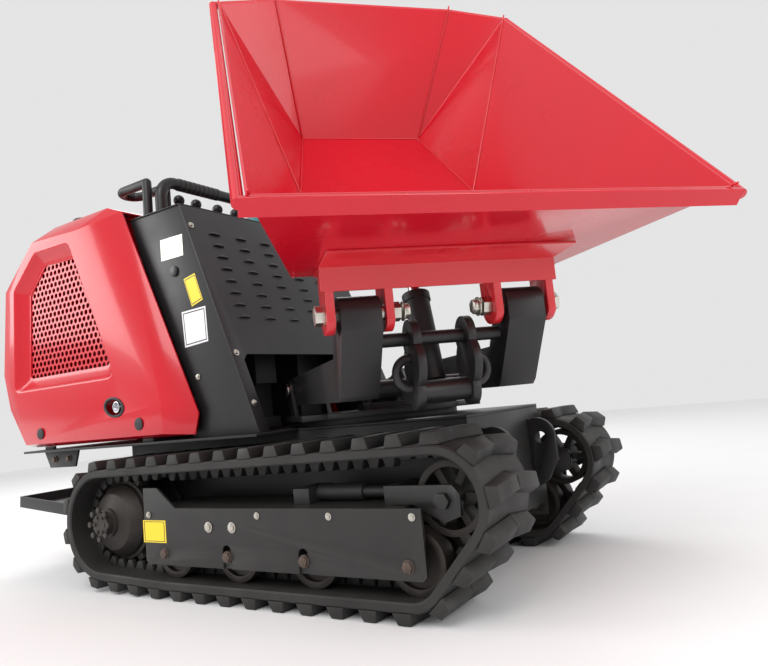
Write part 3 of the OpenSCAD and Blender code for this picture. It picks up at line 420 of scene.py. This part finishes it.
def finished_node(node, material, width):
    """Stands for a designed part, with edges rounded to width in mm, or left sharp at 0."""
    piece = merged_copy(node)
    if width:
        soften(piece, width)
    smooth(piece)
    return settle(piece, node + "_finished", frame["nodes"][node]["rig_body"], material, (node,))


def bolt(centre, outward, across, height, washer=None):
    """Hex head with a chamfer and a washer, standing on a face."""
    centre, outward = Vector(centre), Vector(outward).normalized()
    foot = 0.0
    parts = []
    if washer:
        parts.append(soften(bar(centre, centre + outward * 2, washer, 24), 0.4))
        foot = 2.0
    corner_radius = across / 2 / math.cos(math.pi / 6)
    head = bar(centre + outward * foot, centre + outward * (foot + height), corner_radius, 6)
    parts.append(soften(head, across * 0.06))
    return join(parts)

# ---- Parts of the design, finished with rounded edges ----

FINISHED = [
    ("skip_shell", SKIP_RED, "red_paint", 1.4), ("skip_rim", SKIP_RED, "red_paint", 0),
    ("skip_subframe", BAR_RED, "red_paint", 0.8), ("skip_pins", ZINC, "zinc_plate", 0.6),
    ("lift_arms", BLACK_COAT, "black_powder", 1.5), ("link_plates", BLACK_COAT, "black_powder", 0.8),
    ("turntable", BLACK_COAT, "black_powder", 1.0), ("arm_pins", ZINC, "zinc_plate", 0.6),
    ("slew_ring", DARK_CAST, "dark_cast", 0.8),
    ("lift_barrel", DARK_CAST, "dark_cast", 0.6), ("tip_barrel", DARK_CAST, "dark_cast", 0.6),
    ("lift_rod", CHROME, "chrome_steel", 0.4), ("tip_rod", CHROME, "chrome_steel", 0.4),
    ("chassis_frame", FRAME_COAT, "black_powder", 0.8), ("deck_plate", BLACK_COAT, "black_powder", 0.8),
    ("front_guard", BLACK_COAT, "black_powder", 0.8), ("tow_hitch", BLACK_COAT, "black_powder", 0.8),
    ("track_frame_right", FRAME_COAT, "black_powder", 0.8),
    ("track_frame_left", FRAME_COAT, "black_powder", 0.8),
    ("idler_yoke_right", FRAME_COAT, "black_powder", 0.8),
    ("idler_yoke_left", FRAME_COAT, "black_powder", 0.8),
    ("track_tensioners", DARK_CAST, "dark_cast", 0.4), ("roller_axles", AGED_ZINC, "zinc_plate", 0.4),
    ("drive_motors", DARK_CAST, "dark_cast", 0.8),
    ("sprocket_right", WORN_STEEL, "dark_cast", 0.6), ("sprocket_left", WORN_STEEL, "dark_cast", 0.6),
    ("idler_right", WORN_STEEL, "dark_cast", 0.6), ("idler_left", WORN_STEEL, "dark_cast", 0.6),
    ("engine", DARK_CAST, "dark_cast", 1.5), ("hydraulic_pump", DARK_CAST, "dark_cast", 0.8),
    ("hydraulic_tank", DARK_CAST, "dark_cast", 1.5), ("valve_block", TEAL, "teal_cast", 1.0),
    ("muffler", CHROME, "chrome_steel", 0.4),
    ("side_panels", BLACK_COAT, "black_powder", 0.8), ("top_cover", BLACK_COAT, "black_powder", 0.8),
    ("handlebar", BLACK_COAT, "black_powder", 0), ("grip_loops", BLACK_COAT, "black_powder", 0),
    ("fuel_cap", KNOB, "rubber_trim", 0.8), ("platform", BLACK_COAT, "black_powder", 0.8),
    ("platform_pins", ZINC, "zinc_plate", 0.4), ("hoses", HOSE, "rubber_trim", 0),
]
FINISHED += [(f"roller_{side}_{n}", WORN_STEEL, "dark_cast", 0.6)
             for side in ("right", "left") for n in (1, 2, 3, 4)]
FINISHED += [(f"lever_{n}", KNOB, "black_plastic", 0) for n in ("travel_right", "travel_left", "lift", "tip")]
FINISHED += [("throttle_lever", KNOB, "black_plastic", 0)]
for node, material, slot, width in FINISHED:
    finished_node(node, material, width)

# ---- Track belts ----

BELT_MID, BELT_HALF, BAND = 291.0, 90.0, 18.0
WRAP = ((-572, 157.6, 109.6), (-345, 98.3, 58.3), (282, 98.3, 58.3), (348, 204.2, 80.3))


def belt_runs():
    """Bends and straights of the band's inside, anticlockwise seen from the right: (kind, length, data)."""
    count = len(WRAP)
    normals = []
    for i in range(count):
        (ax, az, ra), (bx, bz, rb) = WRAP[i], WRAP[(i + 1) % count]
        span = math.hypot(bx - ax, bz - az)
        slope = math.degrees(math.atan2(bz - az, bx - ax))
        normals.append(slope - 90 + math.degrees(math.asin((ra - rb) / span)))
    runs = []
    for i in range(count):
        start, end = normals[i - 1], normals[i]
        turn = (end - start) % 360
        x, z, r = WRAP[i]
        runs.append(("bend", math.radians(turn) * (r + BAND), (x, z, r, start, turn)))
        nx, nz, nr = WRAP[(i + 1) % count]
        angle = math.radians(end)
        p = (x + r * math.cos(angle), z + r * math.sin(angle))
        q = (nx + nr * math.cos(angle), nz + nr * math.sin(angle))
        runs.append(("run", math.hypot(q[0] - p[0], q[1] - p[1]), (p, q, end)))
    return runs


RUNS = belt_runs()
BELT_LENGTH = sum(run[1] for run in RUNS)


def belt_frame(s, height):
    """Matrix at distance s along the band and height above its inside: X along the band, Z outwards."""
    s %= BELT_LENGTH
    for kind, length, data in RUNS:
        if s <= length:
            break
        s -= length
    if kind == "bend":
        x, z, r, start, turn = data
        angle = start + turn * s / length
        base = (x + (r + height) * math.cos(math.radians(angle)),
                z + (r + height) * math.sin(math.radians(angle)))
    else:
        p, q, angle = data
        t = s / length
        base = (p[0] + (q[0] - p[0]) * t + height * math.cos(math.radians(angle)),
                p[1] + (q[1] - p[1]) * t + height * math.sin(math.radians(angle)))
    a = math.radians(angle)
    out = Vector((math.cos(a), 0, math.sin(a)))
    along = Vector((-math.sin(a), 0, math.cos(a)))
    across = out.cross(along)
    turn = Matrix((along, across, out)).transposed().to_4x4()
    return Matrix.Translation(Vector((base[0], 0, base[1])) * MM) @ turn


def band_wire(height, y):
    points = []
    for kind, length, data in RUNS:
        if kind == "bend":
            x, z, r, start, turn = data
            n = max(3, round(turn / 4))
            for k in range(n + 1):
                angle = math.radians(start + turn * k / n)
                points.append((x + (r + height) * math.cos(angle), z + (r + height) * math.sin(angle)))
    return ring(points, y)


def bevelled_block(outline, height, shrink, width):
    """Tapered block on an outline in x and y, rising along z, with rounded edges, centred on zero."""
    let_go()
    bpy.ops.mesh.primitive_circle_add(vertices=len(outline), radius=1, fill_type="NGON")
    piece = bpy.context.object
    for vertex, (x, y) in zip(piece.data.vertices, outline):
        vertex.co = (x * MM, y * MM, 0)
    bpy.ops.object.mode_set(mode="EDIT")
    bpy.ops.mesh.select_all(action="SELECT")
    bpy.ops.mesh.extrude_region_move(TRANSFORM_OT_translate={"value": (0, 0, height * MM)})
    bpy.ops.transform.resize(value=(shrink, 0.97, 1), center_override=(
        sum(p[0] for p in outline) / len(outline) * MM, 0, height * MM))
    bpy.ops.object.mode_set(mode="OBJECT")
    close(piece)
    return soften(piece, width, 2)


def belt(side):
    mid = BELT_MID * side
    edge = 3.0
    profile = [(0, -BELT_HALF + edge), (0, BELT_HALF - edge), (edge, BELT_HALF), (BAND - edge, BELT_HALF),
               (BAND, BELT_HALF - edge), (BAND, -BELT_HALF + edge), (BAND - edge, -BELT_HALF),
               (edge, -BELT_HALF)]
    strips = []
    for i in range(len(profile)):
        first = band_wire(profile[i][0], mid + profile[i][1])
        j = (i + 1) % len(profile)
        second = band_wire(profile[j][0], mid + profile[j][1])
        strips.append(bridge(first, second))
    band = close(join(strips))
    outer = bevelled_block([(-20, -90), (20, -90), (34, 6), (-6, 6)], 22, 0.66, 2.6)
    twin = mirrored(outer)
    lug = join([outer, twin])
    count = round(BELT_LENGTH / 72)
    step = BELT_LENGTH / count
    lugs = [copy_of(lug, Matrix.Translation((0, mid * MM, 0)) @ belt_frame((i + 0.24) * step, BAND - 0.5)
                    @ Matrix.Translation((-0.007, 0, 0))) for i in range(count)]
    bpy.data.objects.remove(lug)
    # Guide lugs inside the band: one row between the roller rims, two beside the sprocket's teeth.
    inside = []
    centre = bevelled_block([(-17, -13), (17, -13), (17, 13), (-17, 13)], 25, 0.5, 2.4)
    low = bevelled_block([(-17, -13), (17, -13), (17, 13), (-17, 13)], 13, 0.7, 2.4)
    pair = bevelled_block([(-15, 21), (15, 21), (15, 33), (-15, 33)], 19, 0.5, 2.0)
    pair = join([pair, mirrored(pair)])
    upside = Matrix.Rotation(math.pi, 4, "X")
    for i in range(count * 2):
        place = belt_frame(i * step / 2, 0.5)
        x = place.translation.x / MM
        shape = pair if x < -430 else (low if x > 250 and place.translation.z > 0.12 else centre)
        inside.append(copy_of(shape, Matrix.Translation((0, mid * MM, 0)) @ place @ upside))
    for each in (centre, low, pair):
        bpy.data.objects.remove(each)
    return smooth(join([band] + lugs + inside), 30)


for side, name in ((-1, "right"), (1, "left")):
    settle(belt(side), f"belt_{name}_moulded", "chassis", TRACK_RUBBER,
           (f"track_belt_{name}",))

# ---- Hood ----

def rounded(points, radius, steps=5):
    """Outline with its corners rounded, the same number of points at each."""
    result = []
    for i, corner in enumerate(points):
        corner = Vector(corner)
        back = (Vector(points[i - 1]) - corner).normalized()
        ahead = (Vector(points[(i + 1) % len(points)]) - corner).normalized()
        reach = radius / math.tan(back.angle(ahead) / 2)
        a, b = corner + back * reach, corner + ahead * reach
        for k in range(steps + 1):
            t = k / steps
            result.append(tuple(a * (1 - t) ** 2 + corner * 2 * t * (1 - t) + b * t * t))
    return result


def bands(loops):
    """Skin over a row of wires given as (outline, y)."""
    return close(join([bridge(ring(*a), ring(*b)) for a, b in zip(loops, loops[1:])]))


RECESS = rounded([(-723, 888), (-546, 502), (-1008, 503), (-996, 797), (-884, 890)], 26)
SHEET = rounded([(-735, 846), (-598, 541), (-963, 541), (-949, 778), (-869, 852)], 12)


def blend_outline(t):
    return [(a[0] + (b[0] - a[0]) * t, a[1] + (b[1] - a[1]) * t) for a, b in zip(RECESS, SHEET)]


def hood_recess(side):
    """Sunk surround of the grille, with a rolled lip outside and a flange inside."""
    loops = [(blend_outline(-0.02), side * 329.9)]
    for t, depth in ((0.0, 0.1), (0.06, 0.5), (0.13, 2.0), (0.22, 5.5), (0.5, 15.0), (0.8, 22.5), (0.9, 24.0),
                     (1.0, 24.6)):
        loops.append((blend_outline(t), side * (330.3 - depth)))
    loops.append((blend_outline(1.02), side * 303.5))
    piece = bands(loops)
    if sum(face.normal.y * side * face.area for face in piece.data.polygons) < 0:
        piece.data.flip_normals()
    return smooth(piece, 50)


CELL_AREA = [(-731, 862), (-588, 533), (-972, 533), (-957, 782), (-872, 866)]


def hood_sheet(side):
    """Fine perforated sheet behind the surround: six-sided cells with a round hole, each the same."""
    pitch, hole = 19.0, 6.9
    edge = pitch / math.sqrt(3)
    outline = []
    for k in range(6):
        a, b = math.radians(60 * k + 30), math.radians(60 * k + 90)
        p, q = (edge * math.cos(a), edge * math.sin(a)), (edge * math.cos(b), edge * math.sin(b))
        outline += [p, ((p[0] + q[0]) / 2, (p[1] + q[1]) / 2)]
    inner = [(hole * math.cos(math.radians(30 + 30 * k)), hole * math.sin(math.radians(30 + 30 * k)))
             for k in range(12)]
    cell = bridge(ring(outline, side * 303.0), ring(inner, side * 303.0))
    cells = []
    for row in range(20):
        z = 545 + row * pitch * math.sqrt(3) / 2
        for column in range(22):
            x = -972 + column * pitch + (row % 2) * pitch / 2
            within = True
            for i in range(5):
                (ax, az), (bx, bz) = CELL_AREA[i], CELL_AREA[(i + 1) % 5]
                if (bx - ax) * (z - az) - (bz - az) * (x - ax) > 0:
                    within = False
            if within:
                cells.append(copy_of(cell, Matrix.Translation((x * MM, 0, z * MM))))
    bpy.data.objects.remove(cell)
    sheet = close(join(cells))
    if sum(face.normal.y * side * face.area for face in sheet.data.polygons) < 0:
        sheet.data.flip_normals()
    thick = sheet.modifiers.new("thickness", "SOLIDIFY")
    thick.thickness, thick.offset = 1.5 * MM, -1
    return smooth(apply_all(sheet), 30)


hood = merged_copy("hood")
soften(hood, 5.0, 3, 12.0)
for side in (-1, 1):
    cut(hood, plate(blend_outline(0.02), min(side * 300, side * 340), max(side * 300, side * 340)))
smooth(hood, 40)
settle(hood, "hood_pressed", "hood", GLOSS_RED, ("hood",))
settle(join([hood_recess(-1), hood_recess(1)]), "hood_recesses", "hood", GLOSS_RED)
settle(join([hood_sheet(-1), hood_sheet(1)]), "hood_perforated_sheets", "hood", GLOSS_RED,
       ("grilles",))

plugs = []
for side in (-1, 1):
    for x in (-881, -466):
        plugs.append(soften(bar((x, side * 330.2, 385), (x, side * 333.5, 385), 15, 32), 1.2))
        buffer = block((x - 19.5, side * 304 - 4.5, 340.6), (x + 19.5, side * 304 + 4.5, 348.8))
        plugs.append(soften(buffer, 1.0))
settle(smooth(join(plugs)), "hood_rubber_plugs", "hood", TRIM_RUBBER, ("hood_plugs",))

rims = []
for side in (-1, 1):
    let_go()
    bpy.ops.mesh.primitive_torus_add(major_segments=48, minor_segments=10, major_radius=0.022,
                                     minor_radius=0.003, rotation=(math.pi / 2, 0, 0))
    torus = bpy.context.object
    torus.scale = (1.62, 1, 1)
    fix_place(torus)
    torus.data.transform(Matrix.Translation((-0.560, side * 0.3300, 0.432))
                         @ Matrix.Rotation(math.radians(10), 4, "Y"))
    rims.append(torus)
settle(smooth(join(rims), 60), "exhaust_rims", "hood", TRIM_RUBBER)

# ---- Louvred panel ----

LEAN = math.radians(20.3)
ON_PANEL = Matrix(((0, math.cos(LEAN), -math.sin(LEAN), -0.117), (1, 0, 0, 0),
                   (0, math.sin(LEAN), math.cos(LEAN), 0.340), (0, 0, 0, 1)))


def lean_back(piece):
    """Takes a piece drawn with x across, y out of the sheet and z up the sheet to the leaning panel."""
    piece.data.transform(ON_PANEL)
    piece.data.flip_normals()
    return piece


RISE = 599.2
skin = plate([(-290, 1.2), (-290, RISE), (290, RISE), (290, 1.2), (257, 1.2), (257, 178), (243, 191.8),
              (-243, 191.8), (-257, 178), (-257, 1.2)], -3, 0)
soften(skin, 0.8)
lean_back(skin)
settle(smooth(skin), "panel_sheet", "chassis", PANEL_COAT, ("louvred_panel",))

let_go()
bpy.ops.mesh.primitive_uv_sphere_add(segments=24, ring_count=12, radius=1)
pod = bpy.context.object
pod.scale = (0.0195, 0.0065, 0.0095)
fix_place(pod)
take(pod)
bpy.ops.object.mode_set(mode="EDIT")
bpy.ops.mesh.select_all(action="SELECT")
bpy.ops.mesh.bisect(plane_co=(0, 0, 0), plane_no=(0, 1, 0), clear_inner=True, use_fill=False)
bpy.ops.mesh.select_all(action="SELECT")
bpy.ops.mesh.bisect(plane_co=(0, 0, 0), plane_no=(0, 0, 1), clear_inner=True, use_fill=True)
bpy.ops.object.mode_set(mode="OBJECT")
pods, shade_strips = [], []
for row in range(8):
    for column in range(5):
        where = Matrix.Translation(((-208 + 90.7 * column) * MM, -0.0002, (523 - 33.5 * row) * MM))
        pods.append(copy_of(pod, where))
        # Thin black strip on the sheet just below each louvre: painted shade standing in for the shadowed
        # slot under it, with no opening cut.
        shade_strip = block((-17, 0.1, -2.6), (17, 0.5, 0.4))
        shade_strip.data.transform(where)
        shade_strips.append(shade_strip)
bpy.data.objects.remove(pod)
settle(smooth(lean_back(join(pods)), 40), "panel_louvres", "chassis", PANEL_COAT)
# These black strips are painted shade under the louvres, not real openings.
settle(lean_back(join(shade_strips)), "panel_louvre_painted_shade", "chassis", INK_AND_PAINTED_SHADE)

# ---- Plain labels, bosses and screws on the side sheets ----

def tag(points, y, material, name, thick=0.5, border=None):
    low, high = sorted((y, y + math.copysign(thick, y)))
    settle(soften(plate(points, low, high), 0.15, 1), name, "chassis", material)
    if border:
        mid = Vector((sum(p[0] for p in points), sum(p[1] for p in points))) / len(points)
        outer = [tuple(mid + (Vector(p) - mid) * 0.90) for p in points]
        inner = [tuple(mid + (Vector(p) - mid) * 0.84) for p in points]
        y += math.copysign(thick + 0.05, y)
        line = bridge(ring(outer, y), ring(inner, y))
        thicker = line.modifiers.new("thickness", "SOLIDIFY")
        thicker.thickness, thicker.offset = 0.1 * MM, 0
        settle(apply_all(line), name + "_border", "chassis", INK_AND_PAINTED_SHADE)


SIDE = -287.1
tag([(-404, 828), (-324, 828), (-324, 775), (-404, 775)], SIDE, ZINC, "data_plate", 0.8)
tag([(-329, 717), (-290, 725), (-268, 658), (-306, 647)], SIDE, YELLOW, "side_label_yellow", 0.5, True)
tag([(-343, 639), (-261, 642), (-259, 559), (-338, 553)], SIDE, WHITE, "side_label_white", 0.5, True)
tag([(-412, 170), (-336, 170), (-336, 122), (-412, 122)], -375.1, YELLOW, "frame_label_yellow", 0.5, True)
boss = soften(bar((-359, SIDE, 742), (-359, SIDE - 4, 742), 13, 32), 1.0)
settle(smooth(boss), "side_boss", "chassis", KNOB)
screws = [bolt((-327, SIDE, 427), (0, -1, 0), 13, 5, 10), bolt((-300, SIDE, 480), (0, -1, 0), 9, 3, 7)]
for across, rise in ((-276, 540), (-276, 195), (276, 540), (276, 195), (-276, 70), (276, 70)):
    screw = bolt((across, 0, rise), (0, 1, 0), 9, 3.5, 8)
    screws.append(lean_back(screw))
settle(smooth(join(screws)), "panel_screws", "chassis", ZINC)

# ---- Fasteners on the track frames and at the arms ----

studs = []
for side in (-1, 1):
    face = side * 375.2
    for x in (-200, -132):
        studs.append(bolt((x, face, 158), (0, side, 0), 15, 3.6, 11))
    for x in (-390, -60, 120, 300):
        studs.append(bolt((x, face, 182), (0, side, 0), 9, 3.0, 7))
settle(smooth(join(studs)), "track_frame_bolts", "chassis", ZINC)

for side, name in ((-1, "right"), (1, "left")):
    hubs = []
    for k in range(8):
        a = math.radians(45 * k)
        centre = (-572 + 34 * math.cos(a), side * 375.4, 157.6 + 34 * math.sin(a))
        hubs.append(bolt(centre, (0, side, 0), 13, 5))
    settle(smooth(join(hubs)), f"sprocket_bolts_{name}", f"sprocket_{name}", WORN_STEEL)

caps = []
for lateral in (-1, 1):
    for inner, out in ((70, -1), (205, 1)):
        a = Vector((518.6, lateral * inner, 530.3))
        caps.append(bolt(a, (0, lateral * out, 0), 24, 10, 17))
settle(smooth(slewed(join(caps))), "skip_pin_nuts", "skip", ZINC)

# ---- Weld beads in the skip ----

TILT = math.radians(46)
PIN_FWD, PIN_Z = 518.6, 530.3


def in_skip(point):
    """From the pin axis (forward, left, up, before the skip is tilted) to the row frame, in mm."""
    x, y, z = point
    u = PIN_FWD + x * math.cos(TILT) + z * math.sin(TILT)
    up = PIN_Z - x * math.sin(TILT) + z * math.cos(TILT)
    c, s = math.cos(SLEW_REST), math.sin(SLEW_REST)
    return (u * c - y * s, u * s + y * c, up)


RIM_BACK, FLOOR_Z, RIM_Z = 151 - 875, 29.0, 309.0
CORNERS = [(151, 340, RIM_Z), (RIM_BACK + 46, 322, RIM_Z), (RIM_BACK, 200, RIM_Z), (-84, 245, FLOOR_Z),
           (RIM_BACK + 358, 190, FLOOR_Z), (RIM_BACK + 83, 143, FLOOR_Z)]
OTHER = [(x, -y, z) for x, y, z in CORNERS]
SEAMS = [(CORNERS[3], OTHER[3]), (CORNERS[5], OTHER[5])]
for points in (CORNERS, OTHER):
    SEAMS += [(points[3], points[4]), (points[4], points[5]), (points[0], points[3]), (points[1], points[4]),
              (points[2], points[5])]


def weld(a, b, radius, step):
    """Row of short overlapping cones from a to b, like the ripples of a weld."""
    a, b = Vector(a), Vector(b)
    count = max(2, round((b - a).length / step))
    way = (b - a).normalized()
    return [bar(a + (b - a) * i / count - way * step * 0.7, a + (b - a) * (i + 1) / count, radius * 0.8, 8,
                radius)
            for i in range(count)]


beads = []
for a, b in SEAMS:
    a, b = Vector(a), Vector(b)
    mid = Vector((-300, 0, 230))
    a, b = a + (mid - a).normalized() * 2.0, b + (mid - b).normalized() * 2.0
    beads += weld(in_skip(a), in_skip(b), 2.2, 16.0)
settle(smooth(join(beads), 60), "skip_weld_beads", "skip", BAR_RED)

# ---- Sleeve, fittings and brackets ----


def around(u, lateral, z):
    c, s = math.cos(SLEW_REST), math.sin(SLEW_REST)
    return (u * c - lateral * s, u * s + lateral * c, z)


sleeve = bar(around(150, -92, 402), around(262, -92, 430), 17, 32)
soften(sleeve, 2.0)
ends = [bar(around(262, -92, 430), around(276, -92, 433.5), 11, 6),
        bar(around(138, -92, 399), around(150, -92, 402), 11, 6)]
settle(smooth(sleeve), "accumulator_sleeve", "turntable", BLUE)
settle(smooth(join([soften(e, 0.8) for e in ends])), "accumulator_fittings", "turntable", BRASS)

brackets, bracket_bolts = [], []
for side in (-1, 1):
    y = side * 290
    low, high = sorted((y - side * 3, y + side * 3))
    brackets.append(soften(plate([(-930, 333.8), (-773, 333.8), (-790, 290), (-905, 290)], low, high), 1.0))
    for x in (-880, -815):
        bracket_bolts.append(bolt((x, side * 293, 312), (0, side, 0), 13, 5, 10))
settle(smooth(join(brackets)), "deck_brackets", "chassis", BLACK_COAT)
settle(smooth(join(bracket_bolts)), "deck_bracket_bolts", "chassis", AGED_ZINC)

grips = []
for side in (-1, 1):
    for k in range(9):
        y = side * (60 + 16 * k)
        grips.append(soften(bar((-436, y - 6.5, 1000), (-436, y + 6.5, 1000), 16.6, 28), 1.4))
settle(smooth(join(grips)), "bar_grip_rings", "chassis", TRIM_RUBBER)

# ---- Stage ----

def stage():
    let_go()
    bpy.ops.mesh.primitive_plane_add(size=14)
    floor = bpy.context.object
    floor.name = "studio_floor"
    floor.data.materials.append(finish("studio_floor", (0.88, 0.88, 0.88), (0.85, 0.85, 0.85), (0.7, 0.8),
                                       fine=60.0, bump=0.01))
    for name, where, aim, size, power in (
            ("key_light", (0.6, -3.4, 3.4), (0, 0, 0.4), 2.6, 95.0),
            ("side_light", (3.6, -0.4, 1.9), (0, 0, 0.5), 2.2, 40.0),
            ("back_light", (-2.6, 2.6, 3.0), (-0.2, 0, 0.6), 2.6, 50.0),
            ("left_light", (-3.6, -2.2, 2.0), (-0.6, 0, 0.5), 2.0, 45.0)):
        lamp = bpy.data.lights.new(name, "AREA")
        lamp.size, lamp.energy = size, power
        holder = bpy.data.objects.new(name, lamp)
        bpy.context.scene.collection.objects.link(holder)
        holder.location = where
        holder.rotation_mode = "QUATERNION"
        holder.rotation_quaternion = (Vector(aim) - Vector(where)).to_track_quat("-Z", "Y")
    world = bpy.data.worlds.new("studio_world")
    world.use_nodes = True
    world.node_tree.nodes["Background"].inputs["Color"].default_value = (1, 1, 1, 1)
    world.node_tree.nodes["Background"].inputs["Strength"].default_value = 0.78
    bpy.context.scene.world = world


stage()
place_camera()
bpy.context.scene.view_settings.view_transform = "Standard"
